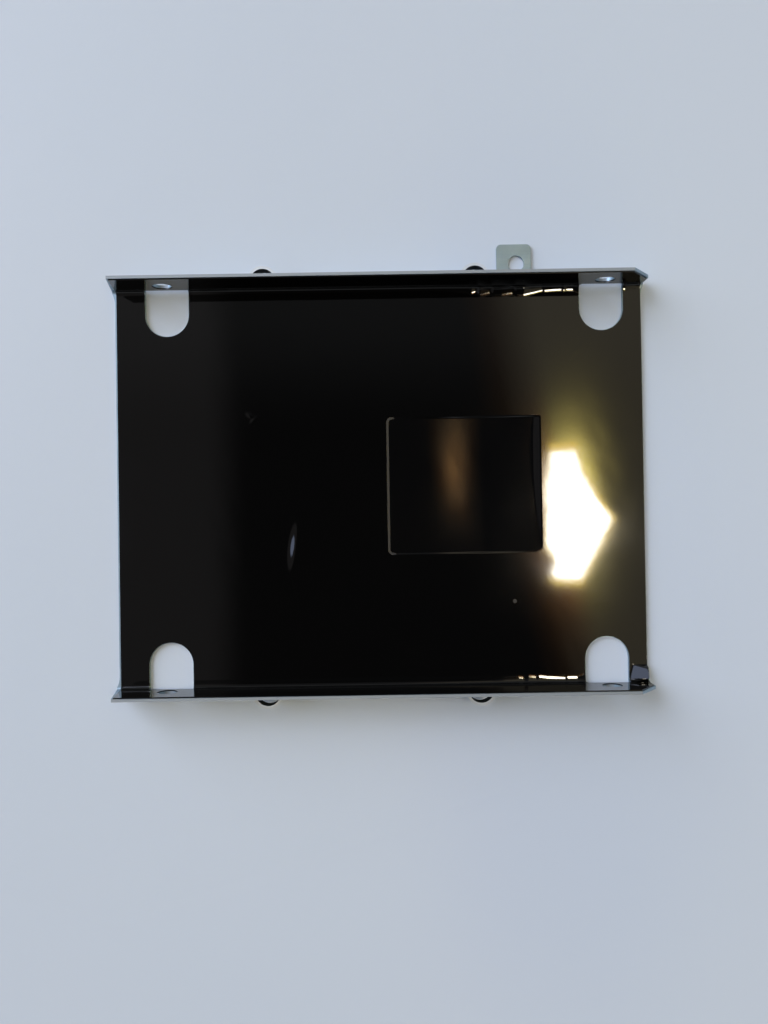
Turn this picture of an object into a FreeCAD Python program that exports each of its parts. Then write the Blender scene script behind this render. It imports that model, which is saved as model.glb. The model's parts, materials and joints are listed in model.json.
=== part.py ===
import FreeCAD, Part
import math
import os

# Laptop drive caddy: a tray folded from one steel sheet and lined with black insulating film.
# Millimetres, +Z up. X runs along the drive, whose connectors face -X, and the two walls stand at
# +Y and -Y. The origin is midway between the four drive screw holes, on the tray's underside.

# The 2.5-inch drive that the tray holds: its width, and the screw holes in its long sides
drive_width = 69.85
drive_side_play = 0.05
drive_screw_spacing = 76.6
drive_screw_height = 3.0

# The sheet, its folds and its walls
sheet_thickness = 0.5
fold_inner_radius = 0.5
fold_neutral_share = 0.44
wall_height = 8.3
connector_end_reach = 9.2
far_end_reach = 7.0
wall_overrun = 0.45
end_relief_radius = 4.0
connector_end_lean = 1.4
corner_cut_length = 3.6
corner_cut_height = 4.5

# Screw holes in the walls, and the round-ended notches in the floor in front of them
screw_hole_diameter = 3.2
notch_width = 7.6
notch_reach = 8.15

# Window punched in the floor
window_centre_x = 13.7
window_length = 27.2
window_width = 24.3
window_corner_radius = 0.6

# Half-round bridges pushed out of each wall between two lanced slits
bridge_centres_x = (-20.7, 15.6)
bridge_centre_z = 4.25
bridge_outer_radius = 2.6
bridge_width = 2.5
lance_gap = 0.1

# Fixing ear cut out of the +Y wall and left lying in the plane of the floor
ear_centre_x = 23.05
ear_width = 6.1
ear_corner_radius = 0.8
ear_relief = 0.4
ear_window_rim = 0.6
ear_hole_diameter = 2.8
ear_hole_shift = 0.4
ear_hole_setback = 3.4

# Film: it lines the floor and both walls, bridges the folds and sags into the floor's window
film_thickness = 0.2
film_fold_ease = 0.3
film_end_margin = 0.3
film_top_margin = 0.3
film_cut_margin = 0.1
film_sag = 0.3
film_sag_play = 0.1

# Cutting tools run this far past what they cut, and points nearer than this are one point
beyond = 2.0
same_point = 1e-6

# Faces and ends that follow from the sizes above
wall_inner_y = drive_width / 2 + drive_side_play + film_thickness
wall_outer_y = wall_inner_y + sheet_thickness
floor_edge_y = wall_inner_y - fold_inner_radius
fold_top_z = sheet_thickness + fold_inner_radius
screw_x = drive_screw_spacing / 2
screw_z = sheet_thickness + film_thickness + drive_screw_height
floor_start_x = -screw_x - connector_end_reach
floor_end_x = screw_x + far_end_reach
wall_start_x = floor_start_x - wall_overrun
wall_end_x = floor_end_x + wall_overrun
corner_cut_z = wall_height - corner_cut_height
origin = FreeCAD.Vector(0, 0, 0)
along_x = FreeCAD.Vector(1, 0, 0)
along_y = FreeCAD.Vector(0, 1, 0)
along_z = FreeCAD.Vector(0, 0, 1)


def rounded_face(corners):
    """A flat face from (point, radius) corners in order, where radius 0 leaves a sharp corner."""
    edges = []
    first_start = None
    last_finish = None
    for index, (point, radius) in enumerate(corners):
        back = (corners[index - 1][0] - point).normalize()
        ahead = (corners[(index + 1) % len(corners)][0] - point).normalize()
        half_angle = back.getAngle(ahead) / 2
        trim = radius / math.tan(half_angle)
        start = point + back * trim
        finish = point + ahead * trim
        if last_finish is None:
            first_start = start
        elif last_finish.distanceToPoint(start) > same_point:
            edges.append(Part.LineSegment(last_finish, start).toShape())
        if radius > 0:
            crown = point + (back + ahead).normalize() * (radius / math.sin(half_angle) - radius)
            edges.append(Part.Arc(start, crown, finish).toShape())
        last_finish = finish
    edges.append(Part.LineSegment(last_finish, first_start).toShape())
    return Part.Face(Part.Wire(edges))


def both_walls(shape):
    """A shape made for the +Y wall, and its mirror image for the -Y wall."""
    return [shape, shape.mirror(origin, along_y)]


def trough(half_width, bottom, radius, top):
    """The filled-in U of the folded sheet: a long block with its two lower edges rounded."""
    corners = [
        (FreeCAD.Vector(wall_start_x, -half_width, top), 0),
        (FreeCAD.Vector(wall_start_x, -half_width, bottom), radius),
        (FreeCAD.Vector(wall_start_x, half_width, bottom), radius),
        (FreeCAD.Vector(wall_start_x, half_width, top), 0),
    ]
    return rounded_face(corners).extrude(along_x * (wall_end_x - wall_start_x))


def side_silhouette(corners):
    """A block that spans both walls and has the given outline of (x, z) corners from the side."""
    start_y = -wall_outer_y - beyond
    face = rounded_face([(FreeCAD.Vector(x, start_y, z), 0) for x, z in corners])
    return face.extrude(along_y * (-2 * start_y))


def end_relief(end_x, outward):
    """Tool that trims one end of the floor back from the walls, in a curve at each fold."""
    drop = end_relief_radius - wall_overrun
    curve_run = math.sqrt(end_relief_radius**2 - drop**2)
    half_width = floor_edge_y - curve_run + end_relief_radius
    far_x = end_x + outward * (end_relief_radius + beyond)
    corners = [
        (FreeCAD.Vector(end_x, -half_width, -beyond), end_relief_radius),
        (FreeCAD.Vector(end_x, half_width, -beyond), end_relief_radius),
        (FreeCAD.Vector(far_x, half_width, -beyond), 0),
        (FreeCAD.Vector(far_x, -half_width, -beyond), 0),
    ]
    return rounded_face(corners).extrude(along_z * (beyond + fold_top_z))


def notch(centre_x, margin, top):
    """Tool for a round-ended notch that runs from the floor through the fold of the +Y wall."""
    half_width = notch_width / 2 + margin
    tip_y = wall_inner_y - notch_reach - margin
    open_y = wall_outer_y + beyond
    corners = [
        (FreeCAD.Vector(centre_x - half_width, tip_y, -beyond), half_width),
        (FreeCAD.Vector(centre_x + half_width, tip_y, -beyond), half_width),
        (FreeCAD.Vector(centre_x + half_width, open_y, -beyond), 0),
        (FreeCAD.Vector(centre_x - half_width, open_y, -beyond), 0),
    ]
    return rounded_face(corners).extrude(along_z * (beyond + top))


def window_block(inset, bottom, top):
    """A block with the outline of the floor's window, set in by the given amount."""
    half_length = window_length / 2 - inset
    half_width = window_width / 2 - inset
    corners = [
        (FreeCAD.Vector(window_centre_x - half_length, -half_width, bottom), window_corner_radius),
        (FreeCAD.Vector(window_centre_x + half_length, -half_width, bottom), window_corner_radius),
        (FreeCAD.Vector(window_centre_x + half_length, half_width, bottom), window_corner_radius),
        (FreeCAD.Vector(window_centre_x - half_length, half_width, bottom), window_corner_radius),
    ]
    return rounded_face(corners).extrude(along_z * (top - bottom))


def screw_hole(centre_x, margin):
    """Tool for one pair of drive screw holes, straight through both walls."""
    start = FreeCAD.Vector(centre_x, -wall_outer_y - beyond, screw_z)
    return Part.makeCylinder(screw_hole_diameter / 2 + margin, 2 * (wall_outer_y + beyond), start, along_y)


def bridge(centre_x):
    """A half-round strip that stands out of the +Y wall."""
    start = FreeCAD.Vector(centre_x, wall_inner_y, bridge_centre_z - bridge_width / 2)
    half_turn = 180
    outside = Part.makeCylinder(bridge_outer_radius, bridge_width, start, along_z, half_turn)
    bridge_inner_radius = bridge_outer_radius - sheet_thickness
    inside = Part.makeCylinder(bridge_inner_radius, bridge_width, start, along_z, half_turn)
    return outside.cut(inside)


def bridge_slot(centre_x):
    """Tool for the hole that a bridge leaves in the +Y wall."""
    half_length = bridge_outer_radius - sheet_thickness - lance_gap
    height = bridge_width + 2 * lance_gap
    corner = FreeCAD.Vector(centre_x - half_length, wall_inner_y - beyond, bridge_centre_z - height / 2)
    return Part.makeBox(2 * half_length, sheet_thickness + 2 * beyond, height, corner)


# The ear is as long as the stretch of wall that it is cut from, measured round the fold.
fold_length = math.pi / 2 * (fold_inner_radius + fold_neutral_share * sheet_thickness)
ear_window_top_z = wall_height - ear_window_rim
ear_end_y = floor_edge_y + fold_length + ear_window_top_z - fold_top_z - lance_gap


def ear():
    """The flat ear with its rounded outer corners and its fixing hole."""
    half_width = ear_width / 2
    corners = [
        (FreeCAD.Vector(ear_centre_x - half_width, floor_edge_y, 0), 0),
        (FreeCAD.Vector(ear_centre_x + half_width, floor_edge_y, 0), 0),
        (FreeCAD.Vector(ear_centre_x + half_width, ear_end_y, 0), ear_corner_radius),
        (FreeCAD.Vector(ear_centre_x - half_width, ear_end_y, 0), ear_corner_radius),
    ]
    plate = rounded_face(corners).extrude(along_z * sheet_thickness)
    hole_start = FreeCAD.Vector(ear_centre_x + ear_hole_shift, ear_end_y - ear_hole_setback, -beyond)
    hole = Part.makeCylinder(ear_hole_diameter / 2, sheet_thickness + 2 * beyond, hole_start, along_z)
    return plate.cut(hole)


def ear_window():
    """Tool for the hole that the ear leaves in the +Y wall and in its fold."""
    half_width = ear_width / 2 + ear_relief
    corner = FreeCAD.Vector(ear_centre_x - half_width, floor_edge_y, -beyond)
    depth = wall_outer_y + beyond - floor_edge_y
    return Part.makeBox(2 * half_width, depth, ear_window_top_z + beyond, corner)


def make_tray():
    """The tray: folded, trimmed at its ends, punched, then lanced."""
    fold_outer_radius = fold_inner_radius + sheet_thickness
    outside = trough(wall_outer_y, 0, fold_outer_radius, wall_height)
    inside = trough(wall_inner_y, sheet_thickness, fold_inner_radius, wall_height + beyond)
    silhouette = side_silhouette([
        (wall_start_x, 0),
        (wall_end_x, 0),
        (wall_end_x, corner_cut_z),
        (wall_end_x - corner_cut_length, wall_height),
        (wall_start_x + connector_end_lean, wall_height),
        (wall_start_x, fold_top_z),
    ])
    cuts = [end_relief(floor_start_x, -1), end_relief(floor_end_x, 1)]
    cuts += [window_block(0, -beyond, sheet_thickness + beyond), ear_window()]
    additions = [ear()]
    for centre_x in (-screw_x, screw_x):
        cuts.append(screw_hole(centre_x, 0))
        cuts += both_walls(notch(centre_x, 0, fold_top_z))
    for centre_x in bridge_centres_x:
        cuts += both_walls(bridge_slot(centre_x))
        additions += both_walls(bridge(centre_x))
    folded = outside.cut(inside).common(silhouette)
    return folded.cut(cuts).fuse(additions).removeSplitter()


def make_film():
    """The film: folded with the tray, cut out at the notches and screw holes, and sunk into the window."""
    top = wall_height - film_top_margin
    outer_radius = fold_inner_radius + film_fold_ease
    film_fold_top_z = sheet_thickness + outer_radius
    outside = trough(wall_inner_y, sheet_thickness, outer_radius, top)
    inside = trough(
        wall_inner_y - film_thickness,
        sheet_thickness + film_thickness,
        outer_radius - film_thickness,
        top + beyond,
    )
    silhouette = side_silhouette([
        (floor_start_x + film_end_margin, 0),
        (floor_end_x - film_end_margin, 0),
        (floor_end_x - film_end_margin, film_fold_top_z),
        (wall_end_x - film_end_margin, corner_cut_z),
        (wall_end_x - corner_cut_length - film_end_margin, wall_height),
        (wall_start_x + connector_end_lean + film_end_margin, wall_height),
        (floor_start_x + film_end_margin, film_fold_top_z),
    ])
    film_top_z = sheet_thickness + film_thickness
    pan = window_block(film_sag_play, sheet_thickness - film_sag, film_top_z)
    hollow_inset = film_sag_play + film_thickness
    hollow = window_block(hollow_inset, film_top_z - film_sag, film_top_z + beyond)
    cutouts = []
    for centre_x in (-screw_x, screw_x):
        cutouts.append(screw_hole(centre_x, film_cut_margin))
        cutouts += both_walls(notch(centre_x, film_cut_margin, film_fold_top_z))
    lining = outside.cut(inside).common(silhouette).cut(cutouts)
    return lining.fuse(pan).cut(hollow).removeSplitter()


os.makedirs("parts", exist_ok=True)
make_tray().exportStep("parts/tray.step")
make_film().exportStep("parts/insulating_film.step")
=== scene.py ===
import json
import math

import bpy
import numpy as np
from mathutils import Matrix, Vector
from mathutils.geometry import delaunay_2d_cdt


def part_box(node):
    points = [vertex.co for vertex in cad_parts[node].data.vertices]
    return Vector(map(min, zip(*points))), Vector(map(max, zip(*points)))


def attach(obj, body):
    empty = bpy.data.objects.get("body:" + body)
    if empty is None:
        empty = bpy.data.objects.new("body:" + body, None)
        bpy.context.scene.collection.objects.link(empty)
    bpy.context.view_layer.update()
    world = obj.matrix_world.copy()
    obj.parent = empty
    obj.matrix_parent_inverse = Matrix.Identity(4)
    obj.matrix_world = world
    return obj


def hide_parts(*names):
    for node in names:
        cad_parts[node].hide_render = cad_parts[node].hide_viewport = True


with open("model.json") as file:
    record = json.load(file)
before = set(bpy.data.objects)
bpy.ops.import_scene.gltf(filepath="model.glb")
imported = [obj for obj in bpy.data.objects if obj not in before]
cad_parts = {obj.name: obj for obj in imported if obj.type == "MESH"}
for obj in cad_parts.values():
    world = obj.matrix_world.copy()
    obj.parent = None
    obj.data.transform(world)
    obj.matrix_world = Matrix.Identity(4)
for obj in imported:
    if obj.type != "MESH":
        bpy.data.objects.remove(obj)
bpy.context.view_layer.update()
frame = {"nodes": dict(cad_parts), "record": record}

bpy.context.scene.view_settings.view_transform = "Standard"


# The tray
# One sheet of zinc-coated steel, punched flat and lanced for the bridges and the ear, then folded
# up along both sides. The ear, the outside, the sheared edges and the bridges show bare metal, but
# the bridges' inner faces carry painted shade and their rims a painted highlight.

mm = 0.001
sheet_thickness = 0.5
ear_side_screws = frame["record"]["mounts"][1]
wall_outer_y = ear_side_screws["pos_m"][1] / mm


def linear(hex_colour):
    """A colour written as sRGB hex, as the linear red, green, blue and alpha that a shader takes."""
    channels = [int(hex_colour[place:place + 2], 16) / 255 for place in (1, 3, 5)]
    return [c / 12.92 if c <= 0.04045 else ((c + 0.055) / 1.055) ** 2.4 for c in channels] + [1.0]


def add_node(owner, kind, inputs, **settings):
    """Adds a shader node: settings are its own choices, and an input takes a value or a node's socket."""
    node = owner.node_tree.nodes.new("ShaderNode" + kind)
    for name, value in settings.items():
        setattr(node, name, value)
    for name, value in inputs.items():
        if isinstance(value, bpy.types.NodeSocket):
            owner.node_tree.links.new(value, node.inputs[name])
        else:
            node.inputs[name].default_value = value
    return node


def new_material(name):
    """An empty node material."""
    material = bpy.data.materials.new(name)
    material.use_nodes = True
    material.node_tree.nodes.clear()
    return material


def zinc_coated_steel():
    """Electro-galvanised cold-rolled sheet: a satin blue-grey, faintly streaked along the way that it
    was rolled and clouded where the zinc took unevenly. Sheared edges are bare and duller steel. On
    the rims of the bridges they are painted paler, a painted highlight. The inner faces of the
    bridges lie in shade in the narrow gap by the wall, and are painted dull black and not metal: painted
    shade."""
    cloud_size = 3.5 * mm
    streak_length = 14 * mm
    streak_width = 0.25 * mm
    grain_size = 0.12 * mm
    bridge_lowest_z = 2.0 * mm
    edge_facing_up = 0.9
    face_turned_in = 0.1
    clear_of_wall = 0.05
    sheared_roughness = 0.75
    painted_gap_shade_roughness = 0.9

    zinc = new_material("zinc_coated_steel")
    place = add_node(zinc, "TexCoord", {}).outputs["Object"]
    clouds = add_node(zinc, "TexNoise", {"Vector": place, "Scale": 1 / cloud_size, "Detail": 3.0})
    stretched = add_node(zinc, "Mapping", {
        "Vector": place, "Scale": (1 / streak_length, 1 / streak_width, 1 / streak_width)})
    streaks = add_node(zinc, "TexNoise", {"Vector": stretched.outputs[0], "Scale": 1.0, "Detail": 2.0})
    grain = add_node(zinc, "TexNoise", {"Vector": place, "Scale": 1 / grain_size, "Detail": 1.0})
    coat = add_node(zinc, "ValToRGB", {"Fac": clouds.outputs["Fac"]})
    coat.color_ramp.elements[0].position = 0.3
    coat.color_ramp.elements[0].color = linear("#8fa3af")
    coat.color_ramp.elements[1].position = 0.7
    coat.color_ramp.elements[1].color = linear("#a0b3be")

    parts = add_node(zinc, "SeparateXYZ", {"Vector": place})
    facing = add_node(zinc, "SeparateXYZ", {"Vector": add_node(zinc, "NewGeometry", {}).outputs["Normal"]})
    raised = add_node(zinc, "Math", {0: parts.outputs["Z"], 1: bridge_lowest_z}, operation="GREATER_THAN")
    upward = add_node(zinc, "Math", {0: facing.outputs["Z"], 1: edge_facing_up}, operation="GREATER_THAN")
    sheared = add_node(zinc, "Math", {0: raised.outputs[0], 1: upward.outputs[0]}, operation="MULTIPLY")
    outward = add_node(zinc, "Math", {0: parts.outputs["Y"], 1: facing.outputs["Y"]}, operation="MULTIPLY")
    inward = add_node(zinc, "Math", {
        0: outward.outputs[0], 1: -wall_outer_y * mm * face_turned_in}, operation="LESS_THAN")
    from_middle = add_node(zinc, "Math", {0: parts.outputs["Y"]}, operation="ABSOLUTE")
    wall_inner_y = wall_outer_y - sheet_thickness
    beyond_wall = add_node(zinc, "Math", {
        0: from_middle.outputs[0], 1: (wall_inner_y + clear_of_wall) * mm}, operation="GREATER_THAN")
    raised_inward = add_node(zinc, "Math", {0: raised.outputs[0], 1: inward.outputs[0]}, operation="MULTIPLY")
    # Painted shade: the bridges' inner faces lie in shade in the narrow gap by the wall, and are painted dull
    # black and not metal.
    painted_gap_shade = add_node(zinc, "Math", {
        0: raised_inward.outputs[0], 1: beyond_wall.outputs[0]}, operation="MULTIPLY")
    # Painted highlight: the sheared rims of the bridges are painted paler than the same steel on the wall
    # edges.
    bridge_rim_painted_paler = add_node(zinc, "Math", {
        0: from_middle.outputs[0], 1: (wall_outer_y + clear_of_wall) * mm}, operation="GREATER_THAN")
    bare = add_node(zinc, "Mix", {
        "Factor": bridge_rim_painted_paler.outputs[0], "A": linear("#adb3b6"), "B": linear("#dde1e3")}, data_type="RGBA")
    steel = add_node(zinc, "Mix", {
        "Factor": sheared.outputs[0], "A": coat.outputs["Color"], "B": bare.outputs["Result"]},
        data_type="RGBA")
    # Painted shade: dull black where the bridges' inner faces lie in shade.
    colour = add_node(zinc, "Mix", {
        "Factor": painted_gap_shade.outputs[0], "A": steel.outputs["Result"], "B": linear("#050505")}, data_type="RGBA")
    metallic = add_node(zinc, "Math", {0: 1.0, 1: painted_gap_shade.outputs[0]}, operation="SUBTRACT")

    satin = add_node(zinc, "MapRange", {
        "Value": streaks.outputs["Fac"], "From Min": 0.3, "From Max": 0.7, "To Min": 0.38, "To Max": 0.52})
    torn = add_node(zinc, "Mix", {
        "Factor": sheared.outputs[0], "A": satin.outputs[0], "B": sheared_roughness})
    roughness = add_node(zinc, "Mix", {
        "Factor": painted_gap_shade.outputs[0], "A": torn.outputs["Result"], "B": painted_gap_shade_roughness})
    relief = add_node(zinc, "Math", {0: streaks.outputs["Fac"], 1: grain.outputs["Fac"]}, operation="ADD")
    bump = add_node(zinc, "Bump", {"Height": relief.outputs[0], "Strength": 0.25, "Distance": 0.01 * mm})
    surface = add_node(zinc, "BsdfPrincipled", {
        "Base Color": colour.outputs["Result"], "Metallic": metallic.outputs[0],
        "Roughness": roughness.outputs["Result"], "Normal": bump.outputs[0]})
    add_node(zinc, "OutputMaterial", {"Surface": surface.outputs[0]})
    return zinc


tray = frame["nodes"]["tray"]
tray.data.materials.clear()
tray.data.materials.append(zinc_coated_steel())


# The insulating film
# One die-cut sheet of glossy black polyester film, stuck to the floor and up both walls with its own
# adhesive. It sags into the window in the floor, and it is puckered where it bridges the two folds.

film_low, film_high = (np.array(corner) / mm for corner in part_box("insulating_film"))
film_thickness = 0.2
film_fold_outer_radius = 0.8
film_fold_radius = film_fold_outer_radius - film_thickness / 2
film_floor_z = sheet_thickness + film_thickness / 2
fold_start_y = film_high[1] - film_thickness / 2 - film_fold_radius
fold_centre_z = film_floor_z + film_fold_radius
fold_arc = film_fold_radius * math.pi / 2
fold_middle_s = fold_start_y + fold_arc / 2
wall_foot_s = fold_start_y + fold_arc
film_top_s = wall_foot_s + film_high[2] - fold_centre_z

far_end_lean = 0.2
far_end_x = film_high[0] - far_end_lean
connector_end_lean = 0.91
corner_cut_z = 3.8
corner_cut_s = wall_foot_s + corner_cut_z - fold_centre_z
corner_cut_slope = 0.8
screw_x = ear_side_screws["dims"]["spacing_x_mm"] / 2
screw_s = wall_foot_s + ear_side_screws["pos_m"][2] / mm - fold_centre_z
screw_hole_radius = 1.7
notch_half_width = 3.9
notch_tip_s = 26.925

window_x = (0.2, 27.2)
window_half_y = 12.05
speck_x = 22.25
speck_s = -20.55


def ramp(low, high, value):
    """Rises smoothly from 0 at low to 1 at high."""
    share = np.clip((value - low) / (high - low), 0.0, 1.0)
    return share * share * (3.0 - 2.0 * share)


def film_edge():
    """The film's outer cut edge laid flat, as points x along the tray and s across from its centre line."""
    half = [
        (film_low[0], wall_foot_s),
        (film_low[0] + connector_end_lean, film_top_s),
        (film_high[0] - corner_cut_slope * (film_top_s - corner_cut_s), film_top_s),
        (film_high[0], corner_cut_s),
        (far_end_x, wall_foot_s),
    ]
    other_half = [(x, -s) for x, s in reversed(half)]
    return list(reversed(half + other_half))


def notch_edge(centre_x, side):
    """The round-ended hole in front of a drive screw, from the floor to the foot of the wall."""
    round_centre_s = notch_tip_s + notch_half_width
    edge = [(centre_x + notch_half_width * math.cos(turn), round_centre_s + notch_half_width * math.sin(turn))
            for turn in np.linspace(math.pi, 2 * math.pi, 33)]
    edge += [(centre_x + notch_half_width, wall_foot_s), (centre_x - notch_half_width, wall_foot_s)]
    return [(x, side * s) for x, s in edge]


def screw_hole_edge(centre_x, side):
    """The round hole that a drive screw goes through."""
    centre_s = side * screw_s
    return [(centre_x + screw_hole_radius * math.cos(turn), centre_s + screw_hole_radius * math.sin(turn))
            for turn in np.linspace(0, 2 * math.pi, 32, endpoint=False)]


def divided(edge, step):
    """The same closed edge with points no further apart than step."""
    points = []
    for (x0, s0), (x1, s1) in zip(edge, edge[1:] + edge[:1]):
        count = max(1, math.ceil(math.hypot(x1 - x0, s1 - s0) / step))
        points += [(x0 + (x1 - x0) * k / count, s0 + (s1 - s0) * k / count) for k in range(count)]
    return np.array(points)


def inside(points, edges, margin):
    """Which points lie on the film, at least margin away from each of its closed edges."""
    x, s = points.T
    on_film = np.zeros(len(points), dtype=bool)
    clear = np.ones(len(points), dtype=bool)
    for edge in edges:
        for (x0, s0), (x1, s1) in zip(edge, np.roll(edge, -1, axis=0)):
            share = np.clip(((x - x0) * (x1 - x0) + (s - s0) * (s1 - s0)) /
                            ((x1 - x0) ** 2 + (s1 - s0) ** 2), 0.0, 1.0)
            clear &= np.hypot(x - x0 - share * (x1 - x0), s - s0 - share * (s1 - s0)) > margin
            if s0 != s1:
                on_film ^= ((s0 > s) != (s1 > s)) & (x < x0 + (s - s0) * (x1 - x0) / (s1 - s0))
    return on_film & clear


def film_section(s):
    """Where the middle of the smooth film lies at s, and which way it faces: y, z and the normal's y, z."""
    side = np.sign(s)
    along = np.abs(s)
    turn = np.clip((along - fold_start_y) / film_fold_radius, 0.0, math.pi / 2)
    y = np.minimum(along, fold_start_y) + film_fold_radius * np.sin(turn)
    z = fold_centre_z - film_fold_radius * np.cos(turn) + np.maximum(along - wall_foot_s, 0.0)
    return side * y, z, -side * np.sin(turn), np.cos(turn)


def inside_window(x, s):
    """How far inside the window a place is, from its long edges and from its left one with round corners."""
    corner_radius = 0.9
    over_x = window_x[0] + corner_radius - x
    over_s = np.abs(s) - window_half_y + corner_radius
    corner = np.hypot(np.maximum(over_x, 0.0), np.maximum(over_s, 0.0))
    return corner_radius - corner - np.minimum(np.maximum(over_x, over_s), 0.0)


def window_sag(x, s):
    """How far the film drops into the window: a step at the left, a slope down past the middle, a slow
    rise beyond it and a steeper one up to the right edge."""
    step_width = 0.2
    step_depth = 0.05
    slope_start_x = 4.2
    slope_end_x = 17.0
    slope_depth = 0.43
    deepest_s = 5.0
    lost_to_sides = 0.35
    slow_rise = 0.02
    steep_rise = 0.22
    fall = slope_depth * (1.0 - lost_to_sides * ((s - deepest_s) / window_half_y) ** 2)
    depth = step_depth + fall * ramp(slope_start_x, slope_end_x, x)
    depth = depth - slow_rise * np.maximum(x - slope_end_x, 0.0)
    depth = np.maximum(np.minimum(depth, steep_rise * (window_x[1] - x)), 0.0)
    return depth * np.clip(inside_window(x, s) / step_width, 0.0, 1.0)


def waves(x, lengths, phase):
    """A few waves of unlike lengths added up, between -1 and 1."""
    added = sum(np.sin(2 * math.pi * x / length + phase * (k + 1)) for k, length in enumerate(lengths))
    return added / len(lengths)


# Where the film leaves the floor to cut across each fold, by side, with 1 for the side with the ear:
# x along the tray, and how far that place is pulled towards the wall.
fold_pulls = {
    1: ((9.0, 0.6), (14.6, -0.1), (15.4, -0.4), (16.3, -0.1), (16.9, -0.75), (18.8, -0.35), (19.4, -0.75),
        (20.8, -0.75), (22.8, -0.48), (23.5, -0.8), (24.7, -0.8), (28.0, -0.05), (28.3, -0.15), (31.4, 0.05),
        (31.7, -0.1), (32.3, 0.02), (33.4, 0.02), (34.4, -0.38), (34.8, 0.6), (41.6, 0.6), (41.9, 0.1),
        (42.6, -0.1), (44.5, 0.5)),
    -1: ((12.0, 0.7), (18.0, 0.1), (20.0, -0.2), (22.6, -0.3), (23.6, -0.15), (24.4, -0.4), (25.8, -0.27),
         (26.2, -0.35), (27.6, -0.15), (29.0, -0.05), (30.9, 0.1), (31.2, -0.05), (33.0, 0.0), (34.4, -0.5),
         (34.8, 0.7), (45.0, 0.7)),
}


def fold_bridge(x, s):
    """The film cuts across each fold and doesn't lie right into it, with puckers towards the far end."""
    settle_length = 0.3
    fade_length = 1.5
    bridge = np.zeros(len(x))
    for side, reach, bend in ((1, 0.6, 0.2), (-1, 0.7, 0.12)):
        start = fold_start_y - reach + np.interp(x, *zip(*fold_pulls[side]))
        run = np.maximum(np.minimum(side * s, fold_start_y) - start, 0.0)
        past = np.maximum(side * s - fold_start_y, 0.0)
        slope = 2.0 * bend * np.maximum(fold_start_y - start, 0.0)
        rise = bend * run ** 2 + slope * settle_length * (1.0 - np.exp(-past / settle_length))
        bridge += rise * np.exp(-(past / fade_length) ** 2)
    return bridge


def lifted_corner(x, s):
    """The far corner by the plain wall has come unstuck: a small flap creased up off the floor."""
    free_s = -32.0
    crease_start_x = 42.8
    crease_lean = 0.27
    end_slope = 0.366
    side_slope = 1.6
    fade_length = 1.2
    crease_x = crease_start_x + crease_lean * (s - free_s)
    flap = np.minimum(end_slope * (x - crease_x), side_slope * (free_s - s))
    past = np.maximum(-s - fold_start_y, 0.0)
    return np.maximum(flap, 0.0) * np.exp(-(past / fade_length) ** 2)


# Each mark pressed into the film: x, s, half its length, half its width on either side, height and
# turn from the Y axis. A crease, two dents and a scratch.
film_marks = (
    (-16.1, -10.3, 3.5, 0.8, 2.5, 0.155, -0.14),
    (-23.9, 12.8, 0.6, 0.35, 0.35, 0.02, 0.9),
    (-23.2, 12.0, 0.7, 0.3, 0.3, 0.02, -0.8),
    (34.1, 23.8, 1.4, 0.3, 0.3, 0.006, -0.7),
)


def film_lift(x, s):
    """How far the film stands off its smooth shape, towards the inside of the tray."""
    slack_height = 0.006
    slack_along = waves(x + 0.35 * s, (23.0, 14.5, 9.1), 1.1)
    slack_across = waves(s - 0.2 * x, (19.0, 12.7), 0.6)
    lift = np.abs(slack_height * slack_along * slack_across)
    lift = lift + fold_bridge(x, s) + lifted_corner(x, s) - window_sag(x, s)
    for mark_x, mark_s, half_length, width_before, width_after, height, turn in film_marks:
        u = (x - mark_x) * math.cos(turn) + (s - mark_s) * math.sin(turn)
        v = (s - mark_s) * math.cos(turn) - (x - mark_x) * math.sin(turn)
        half_width = np.where(u < 0, width_before, width_after)
        lift = lift + height * np.exp(-(u / half_width) ** 2 - (v / half_length) ** 2)
    return lift


def film_whitening(x, s):
    """How far the film is stress-whitened: along the step at the window's left edge, fainter round its
    two left corners, over one speck, and a trace all over the window, where the film is stretched."""
    line_inset = 0.1
    line_width = 0.13
    trace = 0.06
    trace_edge = 0.4
    speck_whiteness = 0.6
    speck_radius = 0.3
    depth_inside = inside_window(x, s)
    from_left = x - window_x[0]
    fade = 1.0 - 0.85 * ramp(0.5, 1.5, from_left) - 0.15 * ramp(1.5, 7.0, from_left)
    line = np.exp(-((depth_inside - line_inset) / line_width) ** 2) * fade
    stretched = trace * ramp(0.0, trace_edge, depth_inside) * ramp(0.0, trace_edge, window_x[1] - x)
    speck = speck_whiteness * np.exp(-(np.hypot(x - speck_x, s - speck_s) / speck_radius) ** 2)
    return np.maximum(np.maximum(line, stretched), speck)


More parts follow.
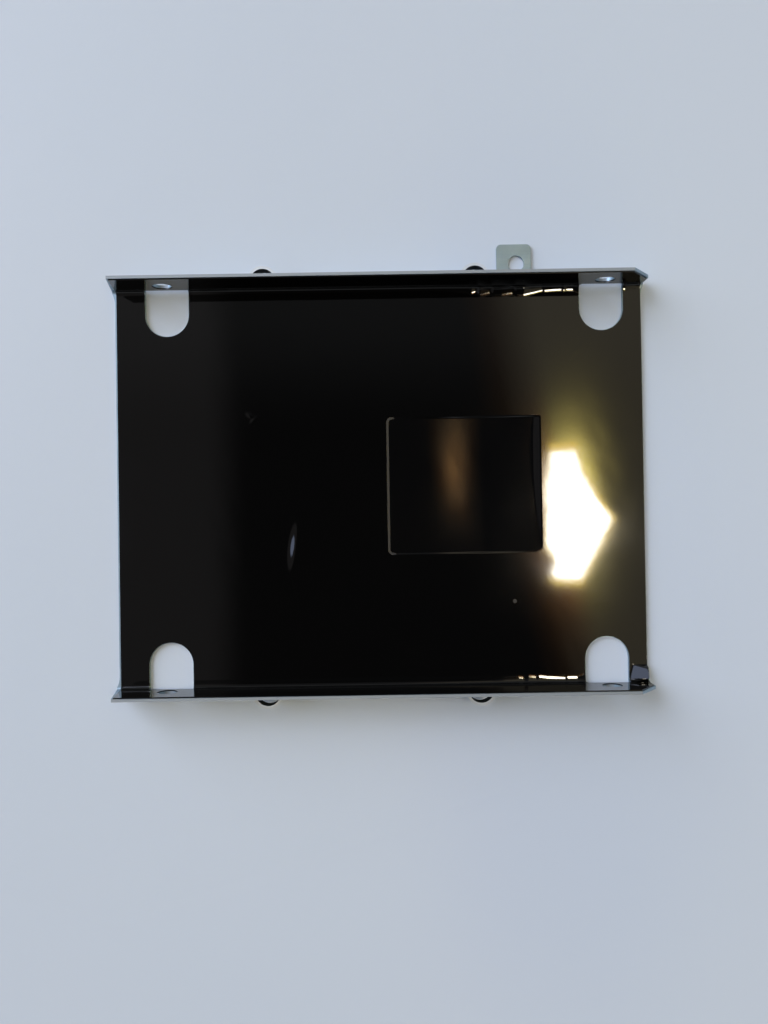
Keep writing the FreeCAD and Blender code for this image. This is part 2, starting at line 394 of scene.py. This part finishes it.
def grid_points():
    """Points on a square grid over the flat film, close together where it bends and far apart where it
    is flat."""
    fine_step = 0.125
    columns, rows = (places.ravel() for places in np.meshgrid(
        np.arange(film_low[0] // fine_step, film_high[0] // fine_step + 1),
        np.arange(-film_top_s // fine_step, film_top_s // fine_step + 1)))
    x, s = columns * fine_step, rows * fine_step
    outside = np.maximum(np.maximum(window_x[0] - x, x - window_x[1]), np.abs(s) - window_half_y)
    in_window = outside < 0.0
    at_window_rim = (outside > -1.4) & (outside < 0.3)
    bridge_middle_s = fold_middle_s - 0.7
    from_bridge = np.abs(np.abs(s) - bridge_middle_s)
    by_fold = from_bridge < 2.0
    in_puckers = (from_bridge < 1.5) & (x > 14.0)
    at_speck = np.hypot(x - speck_x, s - speck_s) < 0.8
    at_lifted_corner = (x > 41.8) & (s < -31.0) & (s > -37.0)
    spacing = np.full(len(x), 8)
    spacing[in_window] = 4
    spacing[by_fold] = 2
    spacing[at_window_rim | in_puckers | at_speck | at_lifted_corner] = 1
    for mark_x, mark_s, half_length, width_before, width_after, _, _ in film_marks:
        size = min(half_length, width_before, width_after)
        near = np.hypot(x - mark_x, s - mark_s) < 2.0 * max(half_length, min(width_before, width_after))
        spacing[near] = np.minimum(spacing[near], 1 if size < 0.7 else 2)
    kept = (columns % spacing == 0) & (rows % spacing == 0)
    return np.column_stack([x, s])[kept]


def film_mesh():
    """The film as a closed thin sheet: both faces and the cut edges all round."""
    edge_step = 0.5
    edge_margin = 0.1
    sharp_bend = math.radians(50)
    edges = [divided(film_edge(), edge_step)]
    for side in (-1, 1):
        for centre_x in (-screw_x, screw_x):
            edges.append(divided(notch_edge(centre_x, side), edge_step))
            edges.append(divided(screw_hole_edge(centre_x, side), edge_step))
    grid = grid_points()
    grid = grid[inside(grid, edges, edge_margin)]
    points = [Vector(point) for point in np.vstack(edges + [grid])]
    first = np.cumsum([0] + [len(edge) for edge in edges])
    loops = [list(range(a, b)) for a, b in zip(first, first[1:])]
    cuts = [(a, b) for loop in loops[1:] for a, b in zip(loop, loop[1:] + loop[:1])]
    flat, _, triangles = delaunay_2d_cdt(points, cuts, loops[:1], 1, 1e-5)[:3]
    places = np.array(flat)
    kept = inside(places[np.array(triangles)].mean(axis=1), edges, 0.0)
    triangles = [triangle for triangle, keep in zip(triangles, kept) if keep]

    x, s = places.T
    y, z, normal_y, normal_z = film_section(s)
    lift = film_lift(x, s)
    faces = [np.column_stack([x, y + normal_y * out, z + normal_z * out])
             for out in (lift + film_thickness / 2, lift - film_thickness / 2)]
    count = len(x)
    sides = {(a, b) for t in triangles for a, b in zip(t, t[1:] + t[:1])}
    rim = [(b, a, a + count, b + count) for a, b in sides if (b, a) not in sides]
    under = [[corner + count for corner in reversed(t)] for t in triangles]
    mesh = bpy.data.meshes.new("insulating_film_skin")
    mesh.from_pydata((np.vstack(faces) * mm).tolist(), [], triangles + under + rim)
    whitening = mesh.attributes.new("stress_whitening", "FLOAT", "POINT")
    whitening.data.foreach_set("value", np.tile(film_whitening(x, s), 2).astype(np.float32))
    mesh.shade_smooth()
    mesh.set_sharp_from_angle(angle=sharp_bend)
    return mesh


def gloss_black_polyester():
    """Polyester film, rolled between polished drums: near black and mirror-like, with a faint orange peel
    and dull patches where it has been handled. Sharply bent, it goes grey and loses its gloss."""
    peel_size = 0.9 * mm
    smear_size = 16 * mm
    whitened_roughness = 0.55

    polyester = new_material("gloss_black_polyester")
    place = add_node(polyester, "TexCoord", {}).outputs["Object"]
    peel = add_node(polyester, "TexNoise", {"Vector": place, "Scale": 1 / peel_size, "Detail": 1.0})
    smears = add_node(polyester, "TexNoise", {"Vector": place, "Scale": 1 / smear_size, "Detail": 4.0})
    gloss = add_node(polyester, "MapRange", {
        "Value": smears.outputs["Fac"], "From Min": 0.35, "From Max": 0.75, "To Min": 0.04, "To Max": 0.07})
    whitening = add_node(polyester, "Attribute", {}, attribute_name="stress_whitening").outputs["Fac"]
    colour = add_node(polyester, "Mix", {
        "Factor": whitening, "A": linear("#050505"), "B": linear("#1b1b1d")}, data_type="RGBA")
    dulling = add_node(polyester, "MapRange", {"Value": whitening, "From Min": 0.1, "From Max": 0.3})
    roughness = add_node(polyester, "Mix", {
        "Factor": dulling.outputs[0], "A": gloss.outputs[0], "B": whitened_roughness})
    bump = add_node(polyester, "Bump", {
        "Height": peel.outputs["Fac"], "Strength": 0.03, "Distance": 0.02 * mm})
    surface = add_node(polyester, "BsdfPrincipled", {
        "Base Color": colour.outputs["Result"], "Roughness": roughness.outputs["Result"], "IOR": 1.57,
        "Normal": bump.outputs[0]})
    add_node(polyester, "OutputMaterial", {"Surface": surface.outputs[0]})
    return polyester


film = bpy.data.objects.new("insulating_film_skin", film_mesh())
bpy.context.scene.collection.objects.link(film)
film.data.materials.append(gloss_black_polyester())
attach(film, "root")
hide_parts("insulating_film")


# Where it lies
# A plain table top of pale laminate, pressed flat and smooth, with a low even sheen. The tray lies on
# it with its floor down.

floor_reach = 1500


def pale_laminate():
    """Melamine laminate: bluish white and satin, with hardly any texture to the eye."""
    tint_size = 90 * mm

    laminate = new_material("pale_laminate")
    place = add_node(laminate, "TexCoord", {}).outputs["Object"]
    tint = add_node(laminate, "TexNoise", {"Vector": place, "Scale": 1 / tint_size, "Detail": 2.0})
    colour = add_node(laminate, "Mix", {
        "Factor": tint.outputs["Fac"], "A": linear("#ccd6e0"), "B": linear("#d2dae2")}, data_type="RGBA")
    surface = add_node(laminate, "BsdfPrincipled", {
        "Base Color": colour.outputs["Result"], "Roughness": 0.45, "Specular IOR Level": 0.3})
    add_node(laminate, "OutputMaterial", {"Surface": surface.outputs[0]})
    return laminate


def flat_piece(name, corners, height, material):
    """A flat sheet with these corners, at this height."""
    mesh = bpy.data.meshes.new(name)
    mesh.from_pydata([(x * mm, y * mm, height * mm) for x, y in corners], [], [list(range(len(corners)))])
    mesh.materials.append(material)
    piece = bpy.data.objects.new(name, mesh)
    bpy.context.scene.collection.objects.link(piece)
    return piece


floor_corners = [(x * floor_reach, y * floor_reach) for x, y in ((-1, -1), (1, -1), (1, 1), (-1, 1))]
flat_piece("floor", floor_corners, 0.0, pale_laminate())


# The light
# A small warm lamp with a yellow rim, above the right-hand end, whose image lies in the film beside the
# window. A wide, cool softbox stands far off on the left, in a room that is dark overhead and plain and
# pale all round.

lamp_height = 700
rim_gap = 1
rim_spread = 1.13
lamp_outline = (
    (162, -36), (168, -42), (171, -50), (169, -58), (165, -63), (172, -68), (196, -69), (228, -9), (206, 21),
    (197, 37), (192, 59), (168, 59), (164, 8), (162, -20))


def lamp_glow(name, colour, strength):
    """A lit diffuser: even, and warm white or yellow."""
    glow = new_material(name)
    emission = add_node(glow, "Emission", {"Color": linear(colour), "Strength": strength})
    add_node(glow, "OutputMaterial", {"Surface": emission.outputs[0]})
    return glow


lamp_centre = np.mean(lamp_outline, axis=0)
rim_outline = lamp_centre + rim_spread * (np.array(lamp_outline) - lamp_centre)
lit_pieces = (
    flat_piece("warm_lamp", lamp_outline[::-1], lamp_height, lamp_glow("lamp_diffuser", "#fff7e6", 45.0)),
    flat_piece(
        "lamp_rim", rim_outline[::-1], lamp_height + rim_gap, lamp_glow("yellow_diffuser", "#ffd95c", 13.0)),
)
for piece in lit_pieces:
    piece.visible_camera = False

softbox_light = bpy.data.lights.new("cool_softbox", "AREA")
softbox_light.size = 2.8
softbox_light.color = linear("#dde7ff")[:3]
softbox_light.energy = 122.0
softbox = bpy.data.objects.new("cool_softbox", softbox_light)
softbox.location = (-2.3, 1.45, 1.7)
softbox.rotation_euler = (-softbox.location).to_track_quat("-Z", "Y").to_euler()
bpy.context.scene.collection.objects.link(softbox)

room = bpy.data.worlds.new("dim_room")
room.use_nodes = True
room.node_tree.nodes.clear()
bpy.context.scene.world = room
way = add_node(room, "TexCoord", {}).outputs["Generated"]
aim = add_node(room, "SeparateXYZ", {"Vector": way})


def from_centre(centre, reach):
    """How far a ray points from a centre in the room, counted in reaches along X and Y."""
    shifted = add_node(room, "Mapping", {
        "Vector": way, "Location": (-centre[0] / reach[0], -centre[1] / reach[1], 0.0),
        "Scale": (1 / reach[0], 1 / reach[1], 0.0)})
    return add_node(room, "VectorMath", {0: shifted.outputs[0]}, operation="LENGTH").outputs["Value"]


# The side with the lamp: dark up to a slanting edge, then brown, then a pale yellow.
edge_slant = 0.2
slant = add_node(room, "Math", {
    0: aim.outputs["Y"], 1: edge_slant, 2: aim.outputs["X"]}, operation="MULTIPLY_ADD")
warm_side = add_node(room, "MapRange", {"Value": slant.outputs[0], "From Min": 0.14, "From Max": 0.22})
warm_tint = add_node(room, "ValToRGB", {"Fac": warm_side.outputs[0]})
warm_tint.color_ramp.elements[0].color = linear("#000000")
warm_tint.color_ramp.elements[1].color = linear("#fff0cb")
warm_tint.color_ramp.elements.new(0.35).color = linear("#70502c")
warm_level = add_node(room, "MapRange", {
    "Value": aim.outputs["X"], "From Min": 0.32, "From Max": 0.7, "To Min": 0.45, "To Max": 0.12},
    interpolation_type="SMOOTHSTEP")

# The lamp's halo, orange near that edge and yellow beyond it, fading outwards.
halo_centre = (0.215, 0.015)
halo_reach = (0.05, 0.13)
halo_peak = 5.2
halo_fade = 5.5
from_lamp = from_centre(halo_centre, halo_reach)
fading = add_node(room, "Math", {0: from_lamp, 1: -halo_fade, 2: halo_peak}, operation="MULTIPLY_ADD")
halo = add_node(room, "Math", {0: fading.outputs[0]}, operation="EXPONENT")
halo_level = add_node(room, "Math", {0: halo.outputs[0], 1: warm_side.outputs[0]}, operation="MULTIPLY")
halo_tint = add_node(room, "ValToRGB", {"Fac": warm_side.outputs[0]})
halo_tint.color_ramp.elements[0].color = linear("#ff9c4a")
halo_tint.color_ramp.elements[1].color = linear("#ffe97c")
halo_tint.color_ramp.elements.new(0.7).color = linear("#ffb060")

# The other side: dim, with one bluish pane in it, and lighter walls further down.
cool_side = add_node(room, "MapRange", {
    "Value": aim.outputs["X"], "From Min": -0.16, "From Max": -0.21, "To Min": 0.02, "To Max": 0.165},
    interpolation_type="SMOOTHSTEP")
pane_centre = (-0.40, 0.02)
pane_reach = (0.09, 0.3)
from_pane = from_centre(pane_centre, pane_reach)
pane = add_node(room, "MapRange", {
    "Value": from_pane, "From Min": 0.5, "From Max": 1.0, "To Min": 2.2, "To Max": 0.0},
    interpolation_type="SMOOTHSTEP")
left_wall = add_node(room, "MapRange", {
    "Value": aim.outputs["X"], "From Min": -0.45, "From Max": -0.7, "To Min": 0.0, "To Max": 0.4},
    interpolation_type="SMOOTHSTEP")
far_side = add_node(room, "MapRange", {
    "Value": aim.outputs["Y"], "From Min": 0.1, "From Max": 0.28, "To Min": 0.0, "To Max": 0.1},
    interpolation_type="SMOOTHSTEP")

# Low down the room is plain and pale, and these sides of it show only overhead.
horizon = add_node(room, "MapRange", {
    "Value": aim.outputs["Z"], "From Min": 0.2, "From Max": 0.5, "To Min": 0.42, "To Max": 0.12},
    interpolation_type="SMOOTHSTEP")
overhead = add_node(room, "MapRange", {
    "Value": aim.outputs["Z"], "From Min": 0.45, "From Max": 0.75}, interpolation_type="SMOOTHSTEP")
shares = (
    add_node(room, "Background", {"Color": warm_tint.outputs["Color"], "Strength": warm_level.outputs[0]}),
    add_node(room, "Background", {"Color": halo_tint.outputs["Color"], "Strength": halo_level.outputs[0]}),
    add_node(room, "Background", {"Color": linear("#e6e0e0"), "Strength": cool_side.outputs[0]}),
    add_node(room, "Background", {"Color": linear("#c8d8ff"), "Strength": pane.outputs[0]}),
    add_node(room, "Background", {"Color": linear("#dfe8f6"), "Strength": left_wall.outputs[0]}),
    add_node(room, "Background", {"Color": linear("#eef2f6"), "Strength": far_side.outputs[0]}),
)
room_light = shares[0]
for share in shares[1:]:
    room_light = add_node(room, "AddShader", {0: room_light.outputs[0], 1: share.outputs[0]})
low_room = add_node(room, "Background", {"Color": linear("#eef2f6"), "Strength": horizon.outputs[0]})
whole_room = add_node(room, "MixShader", {
    0: overhead.outputs[0], 1: low_room.outputs[0], 2: room_light.outputs[0]})
add_node(room, "OutputWorld", {"Surface": whole_room.outputs[0]})


# The camera
# Straight above the tray and close to it, as a hand-held camera would be, turned by under a degree.

camera_lens = bpy.data.cameras.new("camera")
camera_lens.lens = 29.53
camera_lens.sensor_width = 36.0
camera_lens.clip_start = 0.01
camera = bpy.data.objects.new("camera", camera_lens)
camera.location = (-0.358 * mm, -5.908 * mm, 148.56 * mm)
camera.rotation_euler = (math.radians(0.527), math.radians(0.076), math.radians(-0.888))
bpy.context.scene.collection.objects.link(camera)
bpy.context.scene.camera = camera
